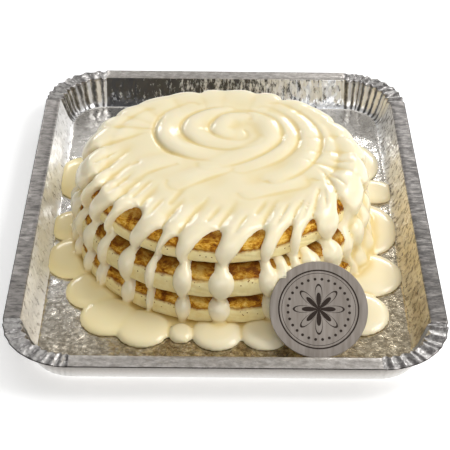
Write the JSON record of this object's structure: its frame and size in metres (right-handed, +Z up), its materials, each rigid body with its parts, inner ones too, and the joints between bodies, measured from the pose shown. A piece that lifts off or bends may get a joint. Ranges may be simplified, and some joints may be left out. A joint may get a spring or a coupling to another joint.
{
  "type": "stack of pancakes under white chocolate sauce",
  "caption": "Stack of thick browned pancakes under a swirl of white chocolate sauce that drips down to a pool on a foil board tray, with a round card leaning on it",
  "frame": {"origin": "centre of the underside of the tray", "axes": "+X to the right seen from the front, +Y away from the front along the tray's long side, +Z up"},
  "size_m": [0.225, 0.285, 0.0552],
  "materials": {
    "foil_board": "crinkled foil on board",
    "pancake_crumb": "browned batter, pale at the side",
    "white_chocolate": "smooth semi-gloss sauce",
    "label_card": "satin silver card"
  },
  "bodies": {
    "root": {"tray": "foil_board", "pancake_bottom": "pancake_crumb", "pancake_middle": "pancake_crumb", "pancake_top": "pancake_crumb", "white_chocolate": "white_chocolate", "label_disc": "label_card"}
  },
  "joints": []
}
